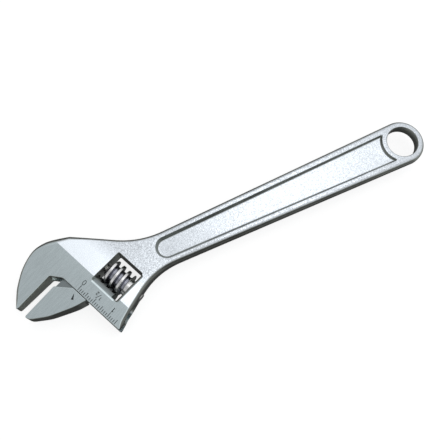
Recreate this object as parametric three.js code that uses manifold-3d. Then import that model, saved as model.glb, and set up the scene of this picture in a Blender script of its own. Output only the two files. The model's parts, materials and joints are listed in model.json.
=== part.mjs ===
// Adjustable wrench, 12 inch (300 mm) class, lying flat.
// Units are millimetres. +X runs along the handle, from the jaws to the hanging hole, and +Z is up.
// The wrench has five pieces: the forged body with the fixed jaw, the movable jaw with its slide bar
// and rack, the adjusting worm, the pin that the worm turns on, and the spring that loads the worm.

import * as THREE from 'three';
import { mergeVertices } from 'three/addons/utils/BufferGeometryUtils.js';
import Module from 'manifold-3d';

const wasm = await Module();
wasm.setup();

// ---------------------------------------------------------------- driving dimensions

const CLEARANCE = 0.3;                // running gap between neighbouring pieces
const REACH = 80;                     // long enough to cut right through the head

// The head has its own axes: u runs along the jaw faces, from the tips toward the handle, and v runs
// across them, from the movable jaw toward the fixed jaw. The head is turned on the handle, so u is
// HEAD_ANGLE away from the handle's X.
const HEAD_ANGLE = THREE.MathUtils.degToRad(22.5);
const HEAD_ORIGIN = new THREE.Vector2(-234.7, 0);   // measured from the hanging hole's centre
const HEAD_END_X = -150;              // the head's forging is buried in the handle up to here
const OVERSIZE = 4;                   // stock that the throat cut takes off

// Thickness. The crease is the straight ridge where the ground face meets the forged face.
const CREASE_U = 1;
const CREASE_HALF = 9.9;              // half of the head's greatest thickness
const GROUND_SLOPE = 0.093;           // each ground face falls away toward the jaw tips
const FORGED_SLOPE = 0.098;           // each forged face falls away toward the handle
const NECK_X = -180;
const NECK_HALF = 5.3;                // half of the handle's thickness at the neck
const END_HALF = 4.1;                 // half of the handle's thickness at the hanging hole
const SIDE_ROUND = 0.8;               // share of the half thickness over which the sides curve in
const SIDE_DRAFT = 1.9;               // how far the sides curve in by the time they meet the faces

// Handle
const NECK_HALF_WIDTH = 11.9;
const END_RADIUS = 16.3;
const HOLE_RADIUS = 11.2;
const HOLE_CHAMFER = 0.6;
const WEB_HALF = 2.4;                 // half of the web left between the two pockets
const POCKET_DRAFT = 0.5;             // how far a pocket wall leans out for each mm of depth
const POCKET_START_X = -191.9;
const POCKET_START_RADIUS = 7.8;      // round end toward the head
const POCKET_END_HALF_WIDTH = 11.4;
const POCKET_BOSS_RADIUS = 14.4;      // the pocket ends in an arc round the hanging hole

// Jaws and strip
const STRIP_U = -12.6;                // the strip's edge that the movable jaw slides along
const FIXED_FACE_V = 21.85;
const JAW_OPENING = 6.7;              // opening between the jaws as the wrench lies
const MOVING_FACE_V = FIXED_FACE_V - JAW_OPENING;
const THROAT_START_U = -17.3;         // where the fixed jaw's face ends and the throat begins
const THROAT_END_V = 14.6;            // where the throat meets the strip

// Slide bar, its bore and its slot
const BAR_U = -2.4;
const BAR_RADIUS = 7;
const BAR_BOTTOM_V = -16.8;
const JAW_BOTTOM_V = -6.4;            // where the jaw's back meets the strip
const BORE_TOP_V = 23;
const TONGUE_HALF = 4.2;              // half thickness of the tongue that joins the jaw to its bar

// Window and worm
const WINDOW = { left: -1.2, right: 23.1, bottom: -20.4, top: 0.6, corner: 0.8, chamfer: 1.1 };
const WORM_U = 11;
const WORM_RADIUS = 9;
const THREAD_DEPTH = 2.9;
const THREAD_LEAD = 4.9;              // one right-hand start
const THREAD_DIVISIONS = 24;          // facets round one turn of the worm
const CREST_DIVISIONS = 3;            // half of the crest, counted in those facets
const FLANK_DIVISIONS = 4;            // one flank
const WORM_BOTTOM_V = WINDOW.bottom + 0.5;
const WORM_TOP_V = -2.4;
const CREST_V = -8.9;                 // a crest passes here on the worm's upper side

// Pin and spring
const PIN_RADIUS = 2.2;
const PIN_TOP_V = 8.2;
const PIN_HEAD_RADIUS = 3.5;
const PIN_SEAT_V = -27;
const PIN_END_V = -29.6;
const PIN_SLOT = { width: 1, depth: 0.9 };
const SPRING_WIRE_RADIUS = 0.45;
const SPRING_RADIUS = 3.3;
const SPRING_TURNS = 5;
const SPRING_POCKET_RADIUS = 4.3;
const SPRING_POCKET_DEPTH = 6.5;

// ---------------------------------------------------------------- frames

const headFrame = new THREE.Matrix4()
  .makeRotationZ(HEAD_ANGLE)
  .setPosition(HEAD_ORIGIN.x, HEAD_ORIGIN.y, 0);

// A length built along Z, with its section drawn from the upper side toward +u, is laid along v.
const alongV = new THREE.Matrix4().makeBasis(
  new THREE.Vector3(0, 0, 1),
  new THREE.Vector3(1, 0, 0),
  new THREE.Vector3(0, 1, 0),
);

function toHandle(u, v) {
  return new THREE.Vector2(u, v).rotateAround(new THREE.Vector2(), HEAD_ANGLE).add(HEAD_ORIGIN);
}

// ---------------------------------------------------------------- solids

function solidFrom(geometry) {
  const bare = geometry.index ? geometry.toNonIndexed() : geometry.clone();
  bare.deleteAttribute('normal');
  bare.deleteAttribute('uv');
  const merged = mergeVertices(bare, 1e-4);
  const vertProperties = new Float32Array(merged.attributes.position.array);
  const triVerts = new Uint32Array(merged.index.array);
  return new wasm.Manifold(new wasm.Mesh({ numProp: 3, vertProperties, triVerts }));
}

function geometryFrom(solid) {
  const mesh = solid.getMesh();
  const geometry = new THREE.BufferGeometry();
  geometry.setAttribute('position', new THREE.BufferAttribute(new Float32Array(mesh.vertProperties), 3));
  geometry.setIndex(new THREE.BufferAttribute(new Uint32Array(mesh.triVerts), 1));
  geometry.computeVertexNormals();
  return geometry;
}

function polygon(points) {
  return new THREE.Shape(points.map(([x, y]) => new THREE.Vector2(x, y)));
}

// A straight prism through the whole thickness, drawn in the head's u and v.
function headPrism(shape, half = REACH) {
  const geometry = new THREE.ExtrudeGeometry(shape, {
    depth: 2 * half,
    bevelEnabled: false,
    curveSegments: 10,
  });
  geometry.translate(0, 0, -half);
  return geometry.applyMatrix4(headFrame);
}

// A prism that runs along v, drawn in the head's u and z.
function crossPrism(shape, bottom, top) {
  const geometry = new THREE.ExtrudeGeometry(shape, { depth: top - bottom, bevelEnabled: false });
  geometry.rotateX(Math.PI / 2);
  geometry.translate(0, top, 0);
  return geometry.applyMatrix4(headFrame);
}

// A round bar along v.
function headCylinder(u, radius, bottom, top, segments = 40) {
  const geometry = new THREE.CylinderGeometry(radius, radius, top - bottom, segments);
  geometry.translate(u, (top + bottom) / 2, 0);
  return geometry.applyMatrix4(headFrame);
}

function turned(points, u, segments = 32) {
  const profile = points.map(([r, v]) => new THREE.Vector2(r, v));
  const geometry = new THREE.LatheGeometry(profile, segments);
  geometry.translate(u, 0, 0);
  return geometry.applyMatrix4(headFrame);
}

// The region between the two ground faces. It depends on u only, so both jaws are cut by it.
function groundWedge() {
  const tipU = -60;
  const farU = 90;
  const tipHalf = CREASE_HALF - GROUND_SLOPE * (CREASE_U - tipU);
  const shape = polygon([
    [tipU, -tipHalf],
    [CREASE_U, -CREASE_HALF],
    [farU, -CREASE_HALF],
    [farU, CREASE_HALF],
    [CREASE_U, CREASE_HALF],
    [tipU, tipHalf],
  ]);
  return solidFrom(crossPrism(shape, -REACH, REACH));
}

// ---------------------------------------------------------------- wrench body

function handleHalfWidth(x) {
  const slope = (END_RADIUS - NECK_HALF_WIDTH) / -NECK_X;
  return NECK_HALF_WIDTH + slope * (x - NECK_X);
}

const jawBack = new THREE.SplineCurve([
  [-45.4, 22.9], [-44.3, 24.9], [-40.4, 29], [-35.3, 33.3], [-25.2, 39.2],
  [-13.5, 42.4], [-4.5, 41], [2.5, 37.2], [9.5, 32.2],
].map(([u, v]) => toHandle(u, v)));

const heelEdge = new THREE.SplineCurve([
  [15, -28.5], [5.2, -30.7], [-4, -32.9], [-9, -34.1], [-11.9, -34.3], [-14, -32.6], [-16.6, -28],
].map(([u, v]) => toHandle(u, v)));

// Each edge of the neck curves from the head into the handle's straight edge.
const neckTop = new THREE.QuadraticBezierCurve(
  toHandle(27.6, 9.5),
  new THREE.Vector2(-198.9, handleHalfWidth(-198.9)),
  new THREE.Vector2(-182, handleHalfWidth(-182)),
);
const neckBottom = new THREE.QuadraticBezierCurve(
  new THREE.Vector2(-180, -handleHalfWidth(-180)),
  new THREE.Vector2(-196.5, -handleHalfWidth(-196.5)),
  toHandle(15, -28.5),
);

// Points along an arc, from one angle in degrees to another.
function arc(x, y, radius, from, to, divisions) {
  const start = THREE.MathUtils.degToRad(from);
  const end = THREE.MathUtils.degToRad(to);
  return new THREE.ArcCurve(x, y, radius, start, end, to < from).getPoints(divisions);
}

// A closed outline through runs of points that meet end to end.
function chain(...runs) {
  const points = runs.flat();
  const kept = points.filter((point, i) => point.distanceTo(points[(i + 1) % points.length]) > 0.01);
  return new THREE.Shape(kept);
}

// The head in plan. Its jaw side is left oversize, because the throat cut trims it.
function headOutline() {
  return chain(
    [toHandle(-44.6, FIXED_FACE_V - OVERSIZE)],
    jawBack.getSpacedPoints(26),
    neckTop.getSpacedPoints(8),
    [
      new THREE.Vector2(HEAD_END_X, handleHalfWidth(HEAD_END_X)),
      new THREE.Vector2(HEAD_END_X, -handleHalfWidth(HEAD_END_X)),
    ],
    neckBottom.getSpacedPoints(10),
    heelEdge.getSpacedPoints(14),
    [toHandle(STRIP_U - OVERSIZE, FIXED_FACE_V - OVERSIZE)],
  );
}

function handleOutline() {
  return chain(
    neckTop.getSpacedPoints(8),
    arc(0, 0, END_RADIUS, 90, -90, 20),
    neckBottom.getSpacedPoints(10),
  );
}

// A forging with barrelled sides, whose upper and lower faces lie heightAt(x, y) from the middle.
function forging(outline, heightAt) {
  const geometry = new THREE.ExtrudeGeometry(outline, {
    depth: 2 * (1 - SIDE_ROUND),
    bevelThickness: SIDE_ROUND,
    bevelSize: SIDE_DRAFT,
    bevelOffset: -SIDE_DRAFT,
    bevelSegments: 4,
    curveSegments: 12,
  });
  geometry.translate(0, 0, SIDE_ROUND - 1);
  const place = geometry.attributes.position;
  for (let i = 0; i < place.count; i += 1) {
    place.setZ(i, place.getZ(i) * heightAt(place.getX(i), place.getY(i)));
  }
  return solidFrom(geometry);
}

function forgedHalf(x, y) {
  const across = (x - HEAD_ORIGIN.x) * Math.cos(HEAD_ANGLE);
  const u = across + (y - HEAD_ORIGIN.y) * Math.sin(HEAD_ANGLE);
  return CREASE_HALF - FORGED_SLOPE * (u - CREASE_U);
}

function handleHalf(x) {
  return NECK_HALF + (END_HALF - NECK_HALF) * (x - NECK_X) / -NECK_X;
}

// Everything on the jaw side of the fixed jaw's face, the throat and the strip.
function throatCut() {
  const far = 60;
  const nose = [-45.9, FIXED_FACE_V + 1.6];
  const shape = new THREE.Shape();
  shape.moveTo(-far, -far);
  shape.lineTo(STRIP_U, -far);
  shape.lineTo(STRIP_U, THROAT_END_V - 1);
  shape.quadraticCurveTo(STRIP_U, THROAT_END_V, STRIP_U - 0.6, THROAT_END_V + 0.95);
  shape.lineTo(THROAT_START_U + 0.5, FIXED_FACE_V - 0.8);
  shape.quadraticCurveTo(THROAT_START_U, FIXED_FACE_V, THROAT_START_U - 0.9, FIXED_FACE_V);
  shape.lineTo(-43.8, FIXED_FACE_V);
  shape.quadraticCurveTo(-45.2, FIXED_FACE_V, ...nose);
  shape.lineTo(-far, nose[1]);
  return solidFrom(headPrism(shape));
}

// Bore and slot for the slide bar and its tongue. They run out through the heel of the head.
function slideCut() {
  const slotHalf = TONGUE_HALF + CLEARANCE;
  const slotTop = FIXED_FACE_V + CLEARANCE;
  const slot = new THREE.BoxGeometry(BAR_U - THROAT_START_U + CLEARANCE, slotTop + REACH, 2 * slotHalf);
  slot.translate((BAR_U + THROAT_START_U - CLEARANCE) / 2, (slotTop - REACH) / 2, 0);
  const bore = headCylinder(BAR_U, BAR_RADIUS + CLEARANCE, -REACH, BORE_TOP_V);
  return solidFrom(bore).add(solidFrom(slot.applyMatrix4(headFrame)));
}

// Window for the worm, through the head, with a bevel along the strip on both faces.
function windowCut() {
  const { left, right, bottom, top, corner, chamfer } = WINDOW;
  const shape = chain(
    arc(right - corner, bottom + corner, corner, -90, 0, 3),
    arc(right - corner, top - corner, corner, 0, 90, 3),
    arc(left + corner, top - corner, corner, 90, 180, 3),
    arc(left + corner, bottom + corner, corner, 180, 270, 3),
  );
  const face = CREASE_HALF - GROUND_SLOPE * (CREASE_U - left);
  const bevels = [1, -1].map((side) => {
    const section = polygon([
      [left - chamfer, side * face],
      [left + 1, side * (face - chamfer - 1)],
      [left + 1, side * (face + 2)],
      [left - chamfer, side * (face + 2)],
    ]);
    return solidFrom(crossPrism(section, bottom + corner, top - corner));
  });
  return solidFrom(headPrism(shape, 2 * CREASE_HALF)).add(bevels[0]).add(bevels[1]);
}

// Hole for the worm's pin, with a seat for its head, blind above the window.
function pinCut() {
  const radius = PIN_RADIUS + CLEARANCE;
  const seatRadius = PIN_HEAD_RADIUS + CLEARANCE;
  return solidFrom(turned([
    [0, -REACH], [seatRadius, -REACH], [seatRadius, PIN_SEAT_V],
    [radius, PIN_SEAT_V], [radius, PIN_TOP_V + CLEARANCE], [0, PIN_TOP_V + 1.5],
  ], WORM_U));
}

// Shallow recess in the handle's upper face: round toward the head, hollowed round the hanging hole.
function pocketCut() {
  const startX = POCKET_START_X + POCKET_START_RADIUS;
  const depth = NECK_HALF + 0.2 - WEB_HALF;
  const inset = depth * POCKET_DRAFT;
  const outline = chain(
    arc(startX, 0, POCKET_START_RADIUS, 90, 270, 14),
    [new THREE.Vector2(0, -POCKET_END_HALF_WIDTH), new THREE.Vector2(0, POCKET_END_HALF_WIDTH)],
  );
  const recess = new THREE.ExtrudeGeometry(outline, {
    depth: 0.5,
    bevelThickness: depth,
    bevelSize: inset,
    bevelOffset: -inset,
    bevelSegments: 1,
  });
  recess.translate(0, 0, WEB_HALF + depth);
  const bossProfile = [
    [0, 0], [POCKET_BOSS_RADIUS + inset, 0], [POCKET_BOSS_RADIUS + inset, WEB_HALF],
    [POCKET_BOSS_RADIUS - inset, WEB_HALF + 2 * depth], [0, WEB_HALF + 2 * depth],
  ].map(([radius, height]) => new THREE.Vector2(radius, height));
  const boss = new THREE.LatheGeometry(bossProfile, 60);
  boss.rotateX(Math.PI / 2);
  return solidFrom(recess).subtract(solidFrom(boss));
}

function hangingHole() {
  const straight = END_HALF - HOLE_CHAMFER;
  const far = 2 * END_HALF;
  const wide = HOLE_RADIUS + far - straight;
  const profile = [
    [0, -far], [wide, -far], [HOLE_RADIUS, -straight],
    [HOLE_RADIUS, straight], [wide, far], [0, far],
  ];
  const geometry = new THREE.LatheGeometry(profile.map(([r, z]) => new THREE.Vector2(r, z)), 48);
  return solidFrom(geometry.rotateX(Math.PI / 2));
}

function wrenchBody() {
  const head = forging(headOutline(), forgedHalf).intersect(groundWedge());
  const handle = forging(handleOutline(), handleHalf);
  return head
    .add(handle)
    .subtract(throatCut())
    .subtract(slideCut())
    .subtract(windowCut())
    .subtract(pinCut())
    .subtract(pocketCut())
    .subtract(pocketCut().rotate([180, 0, 0]))
    .subtract(hangingHole());
}

// ---------------------------------------------------------------- movable jaw

function jawOutline() {
  const back = new THREE.SplineCurve([
    [-45.4, 14.2], [-44.2, 11.3], [-40.5, 8], [-35.4, 4], [-30, 1], [-20, -4],
    [STRIP_U - CLEARANCE, JAW_BOTTOM_V],
  ].map(([u, v]) => new THREE.Vector2(u, v)));
  return chain(
    back.getSpacedPoints(22),
    [
      new THREE.Vector2(STRIP_U - CLEARANCE, MOVING_FACE_V),
      new THREE.Vector2(-44.6, MOVING_FACE_V),
    ],
  );
}

// The jaw's shoulders are cut back so that they clear the throat when the jaws meet.
function shoulderCut(side) {
  const shape = polygon([
    [-20.3, MOVING_FACE_V],
    [STRIP_U, 5.4],
    [STRIP_U, MOVING_FACE_V + 2],
    [-20.3, MOVING_FACE_V + 2],
  ]);
  const geometry = headPrism(shape, CREASE_HALF);
  return solidFrom(geometry.translate(0, 0, side * (CREASE_HALF + TONGUE_HALF)));
}

// One space between two rack teeth. It leans with the thread, so that the worm's rib runs in it.
function rackSpace(v) {
  const floor = WORM_U - WORM_RADIUS - CLEARANCE;
  const slope = (FLANK_DIVISIONS * THREAD_LEAD / THREAD_DIVISIONS) / THREAD_DEPTH;
  const flankGap = CLEARANCE * Math.hypot(1, slope);
  const floorHalf = CREST_DIVISIONS * THREAD_LEAD / THREAD_DIVISIONS + flankGap - slope * CLEARANCE;
  const depth = 4;
  const shape = polygon([
    [0, -floorHalf],
    [depth, -floorHalf - slope * depth],
    [depth, floorHalf + slope * depth],
    [0, floorHalf],
  ]);
  const geometry = new THREE.ExtrudeGeometry(shape, { depth: 2 * BAR_RADIUS, bevelEnabled: false });
  const pitchRadius = WORM_RADIUS - THREAD_DEPTH / 2;
  const lean = Math.atan(THREAD_LEAD / (2 * Math.PI * pitchRadius));
  geometry.translate(0, 0, -BAR_RADIUS);
  geometry.rotateX(-lean);
  geometry.translate(floor, v, 0);
  return solidFrom(geometry.applyMatrix4(headFrame));
}

function movableJaw() {
  const tongueStart = STRIP_U - 1;
  const tongueBottom = JAW_BOTTOM_V + 0.3;
  const tongue = new THREE.BoxGeometry(
    BAR_U - tongueStart,
    MOVING_FACE_V - tongueBottom,
    2 * TONGUE_HALF,
  );
  tongue.translate((BAR_U + tongueStart) / 2, (MOVING_FACE_V + tongueBottom) / 2, 0);
  let jaw = solidFrom(headPrism(jawOutline(), 2 * CREASE_HALF))
    .intersect(groundWedge())
    .subtract(shoulderCut(1))
    .subtract(shoulderCut(-1))
    .add(solidFrom(tongue.applyMatrix4(headFrame)))
    .add(solidFrom(headCylinder(BAR_U, BAR_RADIUS, BAR_BOTTOM_V, MOVING_FACE_V)));
  const ribAtRack = CREST_V - THREAD_LEAD / 4;
  const first = Math.floor((BAR_BOTTOM_V - ribAtRack) / THREAD_LEAD);
  const last = Math.ceil((MOVING_FACE_V - ribAtRack) / THREAD_LEAD);
  for (let i = first; i <= last; i += 1) jaw = jaw.subtract(rackSpace(ribAtRack + i * THREAD_LEAD));
  return jaw;
}

// ---------------------------------------------------------------- worm, pin and spring

// The thread is its own cross-section swept up the axis and twisted one turn for each lead.
function adjustingWorm() {
  const rootRadius = WORM_RADIUS - THREAD_DEPTH;
  const step = 2 * Math.PI / THREAD_DIVISIONS;
  const section = [];
  for (let i = 0; i < THREAD_DIVISIONS; i += 1) {
    const fromCrest = Math.min(i, THREAD_DIVISIONS - i);
    const down = THREE.MathUtils.clamp((fromCrest - CREST_DIVISIONS) / FLANK_DIVISIONS, 0, 1);
    const radius = THREE.MathUtils.lerp(WORM_RADIUS, rootRadius, down);
    section.push(new THREE.Vector2(radius * Math.cos(i * step), radius * Math.sin(i * step)));
  }
  const length = WORM_TOP_V - WORM_BOTTOM_V;
  const steps = Math.round(THREAD_DIVISIONS * length / THREAD_LEAD);
  const geometry = new THREE.ExtrudeGeometry(new THREE.Shape(section), {
    depth: length,
    steps,
    bevelEnabled: false,
  });
  const place = geometry.attributes.position;
  for (let i = 0; i < place.count; i += 1) {
    const height = place.getZ(i) + WORM_BOTTOM_V;
    const twist = 2 * Math.PI * (height - CREST_V) / THREAD_LEAD;
    const turnedPoint = new THREE.Vector2(place.getX(i), place.getY(i))
      .rotateAround(new THREE.Vector2(), twist);
    place.setXY(i, turnedPoint.x, turnedPoint.y);
  }
  geometry.translate(0, 0, WORM_BOTTOM_V);
  geometry.applyMatrix4(alongV);
  geometry.translate(WORM_U, 0, 0);
  const boreRadius = PIN_RADIUS + CLEARANCE;
  const springSeat = WORM_TOP_V - SPRING_POCKET_DEPTH;
  const bore = turned([
    [0, WORM_BOTTOM_V - 1], [boreRadius, WORM_BOTTOM_V - 1], [boreRadius, springSeat],
    [SPRING_POCKET_RADIUS, springSeat], [SPRING_POCKET_RADIUS, WORM_TOP_V + 1], [0, WORM_TOP_V + 1],
  ], WORM_U);
  return solidFrom(geometry.applyMatrix4(headFrame)).subtract(solidFrom(bore));
}

// The pin goes in from the heel of the head. A slot across its head takes a screwdriver.
function wormPin() {
  const underHead = PIN_SEAT_V - CLEARANCE;
  const pin = turned([
    [0, PIN_END_V], [PIN_HEAD_RADIUS, PIN_END_V], [PIN_HEAD_RADIUS, underHead],
    [PIN_RADIUS, underHead], [PIN_RADIUS, PIN_TOP_V - 1], [PIN_RADIUS - 0.8, PIN_TOP_V], [0, PIN_TOP_V],
  ], WORM_U);
  const slot = new THREE.BoxGeometry(3 * PIN_HEAD_RADIUS, 2 * PIN_SLOT.depth, PIN_SLOT.width);
  slot.translate(WORM_U, PIN_END_V, 0);
  return solidFrom(pin).subtract(solidFrom(slot.applyMatrix4(headFrame)));
}

// Compression spring round the pin, with a closed coil at each end.
class SpringCurve extends THREE.Curve {
  getPoint(t) {
    const low = WORM_TOP_V - SPRING_POCKET_DEPTH + CLEARANCE + SPRING_WIRE_RADIUS;
    const high = WINDOW.top - CLEARANCE - SPRING_WIRE_RADIUS;
    const closedPitch = 2 * SPRING_WIRE_RADIUS + 0.15;
    const turns = t * SPRING_TURNS;
    const openPitch = (high - low - 2 * closedPitch) / (SPRING_TURNS - 2);
    const opened = THREE.MathUtils.clamp(turns - 1, 0, SPRING_TURNS - 2);
    const v = low + opened * openPitch + (turns - opened) * closedPitch;
    const angle = turns * 2 * Math.PI;
    const u = WORM_U + SPRING_RADIUS * Math.cos(angle);
    return new THREE.Vector3(u, v, SPRING_RADIUS * Math.sin(angle)).applyMatrix4(headFrame);
  }
}

function wormSpring() {
  const wire = new THREE.Shape();
  wire.absarc(0, 0, SPRING_WIRE_RADIUS, 0, 2 * Math.PI, false);
  return solidFrom(new THREE.ExtrudeGeometry(wire, {
    extrudePath: new SpringCurve(),
    steps: 14 * SPRING_TURNS,
    curveSegments: 8,
  }));
}

// ---------------------------------------------------------------- assembly

const chrome = { color: 0xd9dbde, roughness: 0.25, metalness: 1 };
const pieces = [
  ['wrench_body', wrenchBody(), chrome],
  ['movable_jaw', movableJaw(), { color: 0xb4b8bb, roughness: 0.3, metalness: 1 }],
  ['adjusting_worm', adjustingWorm(), { color: 0xc6c9cc, roughness: 0.3, metalness: 1 }],
  ['worm_pin', wormPin(), { color: 0x8b8d90, roughness: 0.4, metalness: 1 }],
  ['worm_spring', wormSpring(), { color: 0x77797c, roughness: 0.45, metalness: 1 }],
];

const wrench = new THREE.Group();
for (const [name, solid, look] of pieces) {
  const mesh = new THREE.Mesh(geometryFrom(solid), new THREE.MeshStandardMaterial(look));
  mesh.name = name;
  wrench.add(mesh);
}

// The part's origin is the middle of its footprint, on the surface that it lies on.
const bounds = new THREE.Box3().setFromObject(wrench);
const middle = bounds.getCenter(new THREE.Vector3());
wrench.position.set(-middle.x, -middle.y, -bounds.min.z);
const part = new THREE.Group();
part.add(wrench);

export default part;
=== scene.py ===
"""Visual model of the adjustable wrench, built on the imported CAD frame.

The pieces are drawn in millimetres in the handle frame: x runs along the handle from the hanging
hole's centre, y runs across it, and z is counted from the middle of the wrench's thickness. The head
has axes of its own: u runs along the jaw faces toward the handle, v from the movable to the fixed jaw.
"""

import json
import math

import bmesh
import bpy
import numpy as np
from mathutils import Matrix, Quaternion, Vector
from mathutils.geometry import delaunay_2d_cdt


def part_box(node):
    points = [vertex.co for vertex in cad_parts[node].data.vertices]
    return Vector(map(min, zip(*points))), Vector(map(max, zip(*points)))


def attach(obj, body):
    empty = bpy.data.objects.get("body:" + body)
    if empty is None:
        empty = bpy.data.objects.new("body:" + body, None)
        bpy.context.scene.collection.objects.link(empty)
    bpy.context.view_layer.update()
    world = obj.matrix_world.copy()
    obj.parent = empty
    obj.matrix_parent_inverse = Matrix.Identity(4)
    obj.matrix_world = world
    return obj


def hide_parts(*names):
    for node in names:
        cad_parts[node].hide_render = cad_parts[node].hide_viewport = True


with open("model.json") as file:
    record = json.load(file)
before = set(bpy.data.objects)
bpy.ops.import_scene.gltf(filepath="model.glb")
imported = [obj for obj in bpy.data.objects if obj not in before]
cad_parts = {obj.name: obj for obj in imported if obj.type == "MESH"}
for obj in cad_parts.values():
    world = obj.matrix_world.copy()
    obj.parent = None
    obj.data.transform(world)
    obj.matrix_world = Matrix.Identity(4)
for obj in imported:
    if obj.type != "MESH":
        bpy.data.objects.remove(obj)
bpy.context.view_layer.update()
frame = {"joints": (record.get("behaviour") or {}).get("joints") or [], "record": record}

# ---------------------------------------------------------------- frames, from the CAD

MM = 0.001
JOINTS = {joint["name"]: joint for joint in frame["joints"]}
OPENINGS = {opening["name"]: opening for opening in frame["record"]["physics"]["openings"]}

V_AXIS = np.array(JOINTS["worm_spin"]["axis"][:2])
U_AXIS = np.array([V_AXIS[1], -V_AXIS[0]])
HOLE_CENTRE = np.mean(OPENINGS["hanging_hole"]["box_m"], axis=0)[:2] / MM
MID_Z = (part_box("wrench_body")[0].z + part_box("wrench_body")[1].z) / 2 / MM

WORM_U = 11.0
WORM_MIDDLE_V = -11.15
WORM_PLACE = np.array(JOINTS["worm_spin"]["pos_m"][:2]) / MM - HOLE_CENTRE
HEAD_ORIGIN = WORM_PLACE - WORM_U * U_AXIS - WORM_MIDDLE_V * V_AXIS

# ---------------------------------------------------------------- driving dimensions, in mm

CLEARANCE = 0.3
SPACING = 0.55                  # distance between the points of an outline
FINE_SPACING = 0.3              # the same round the window
MARK_SPACING = 0.16             # round an engraved mark
CREASE_SPACING = 1.2            # along the crease
GRID_SPACING = 1.5              # and between the loose points at the neck
FACE_MARGIN = 0.15              # how far inside its rounded edge a face begins
BEYOND_HEEL_V = -60.0           # where the tools that cut into the heel start
CRISP_ANGLE = 32.0              # faces that meet at more than this many degrees show a line

CREASE_U = 1.0
CREASE_HALF = 9.9
GROUND_SLOPE = 0.093
FORGED_SLOPE = 0.098
CREASE_SOFTNESS = 0.18
CREASE_HIGHLIGHT_U = 25.0                 # painted highlight: the forged face is painted brighter from here to the crease
NECK_X = -180.0
NECK_HALF = 5.3
END_HALF = 4.1
NECK_BLEND = 0.6                # height over which the head's face flows into the handle's
BLEND_START_X = NECK_X - 35.0

SIDE_ROUND = 0.8                # share of the half thickness over which a forged side curves in
SIDE_DRAFT = 2.6                # how far a forged side curves in
CROWN_DRAFT = 2.2               # how much further it curves in where the crease meets the jaw's back
CROWN_REACH = 11.0
GROUND_EDGE = 0.35              # break on the edges of the ground faces
BACK_ROUND = 0.35               # how much wider that break is along the movable jaw's back

NECK_HALF_WIDTH = 11.9
END_RADIUS = 16.3
HOLE_RADIUS = 11.2
HOLE_CHAMFER = 0.6
WEB_HALF = 2.4
POCKET_DRAFT = 0.5
POCKET_START_X = -191.9
POCKET_START_RADIUS = 7.8
POCKET_END_HALF_WIDTH = 11.4
POCKET_BOSS_RADIUS = 14.4
POCKET_CORNER_X = -10.0         # about where the pocket's sides meet the boss round the hole
POCKET_CORNER = (4.0, 2.0)      # reach of the rounding at the lower and upper corner beside the hole
CORNER_PASSES = 22

STRIP_U = -12.6
FIXED_FACE_V = 21.85
MOVING_FACE_V = 15.15
THROAT_START_U = -17.3
THROAT_END_V = 14.6

BAR_U = -2.4
BAR_RADIUS = 7.0
BAR_BOTTOM_V = -16.8
BAR_CHAMFER = 0.8
BORE_TOP_V = 23.0
JAW_BOTTOM_V = -6.4
TONGUE_HALF = 4.2
SHOULDER_U = -20.3
SHOULDER_V = 5.4

WINDOW_LEFT = -1.2
WINDOW_RIGHT = 23.1
WINDOW_BOTTOM = -20.4
WINDOW_TOP = 0.6
WINDOW_CORNER = 0.8
STRIP_BEVEL = (1.1, 0.42)       # width and depth of the shallow bevel on the window's strip side
HEEL_BEVEL = (1.7, 1.4)         # the same on its heel side
WINDOW_BREAK = (0.25, 0.25)     # and on its other two edges

WORM_RADIUS = 9.0
THREAD_DEPTH = 2.9
THREAD_LEAD = 4.9
CREST_HALF = 4 / 24 * THREAD_LEAD
FLANK = 4 / 24 * THREAD_LEAD
THREAD_ROUND = 0.12             # how far the rounding beside a flank reaches into crest and root
WORM_CHAMFER = 0.5
WORM_BOTTOM_V = WINDOW_BOTTOM + 0.5
WORM_TOP_V = -2.4
CREST_V = -8.9
COLLAR_LENGTH = 2.5             # the thread runs out into a plain collar at the heel end
COLLAR_RADIUS = WORM_RADIUS - THREAD_DEPTH
RUNOUT = 0.5                    # length over which the thread runs out

PIN_RADIUS = 2.2
PIN_TOP_V = 8.2
PIN_HEAD_RADIUS = 3.5
PIN_SEAT_V = -27.0
PIN_END_V = -29.6
PIN_SLOT_HALF = 0.5
PIN_SLOT_DEPTH = 0.9
SPRING_WIRE_RADIUS = 0.45
SPRING_RADIUS = 3.3
SPRING_TURNS = 5
SPRING_GAP = 0.15               # between the closed coils and the next ones
SPRING_POCKET_RADIUS = 4.3
SPRING_POCKET_DEPTH = 6.5

TICK_PITCH = 25.4 / 16
TICK_COUNT = 21
TICK_START_U = -11.7
TICK_ENDS_U = {8: -8.3, 4: -9.0, 1: -10.1}      # for every eighth tick, every fourth and the rest
SCALE_ZERO_V = 2.3
NUMERAL_HEIGHT = 3.3
HALVES_HEIGHT = 2.4             # of the 1 and the 2 in the fraction
NUMERAL_STROKE = 0.42
MARK_DEPTH = 0.22
MARK_WIDTH = 0.42
MARK_WALL = 0.09                # how far a mark's wall leans in

INSIDE_SHADE = 0.72                    # painted shade: mark on the bar and tongue inside the body, where engraving has 1 and the faces 0


# ---------------------------------------------------------------- curves in the plane


def head(points):
    """Points given in the head's u and v, in the handle frame."""
    points = np.asarray(points, float)
    return HEAD_ORIGIN + points[..., :1] * U_AXIS + points[..., 1:2] * V_AXIS


def head_u(points):
    return (points - HEAD_ORIGIN) @ U_AXIS


def spline(points, per_span=24):
    """A smooth curve through the points."""
    points = np.asarray(points, float)
    padded = np.vstack([points[:1], points, points[-1:]])
    t = np.linspace(0, 1, per_span, endpoint=False)[:, None]
    spans = []
    for before, start, end, after in zip(padded, padded[1:], padded[2:], padded[3:]):
        slope_in = (end - before) / 2
        slope_out = (after - start) / 2
        spans.append(
            start
            + slope_in * t
            + (3 * (end - start) - 2 * slope_in - slope_out) * t**2
            + (slope_in + slope_out - 2 * (end - start)) * t**3
        )
    return np.vstack([*spans, points[-1:]])


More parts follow.
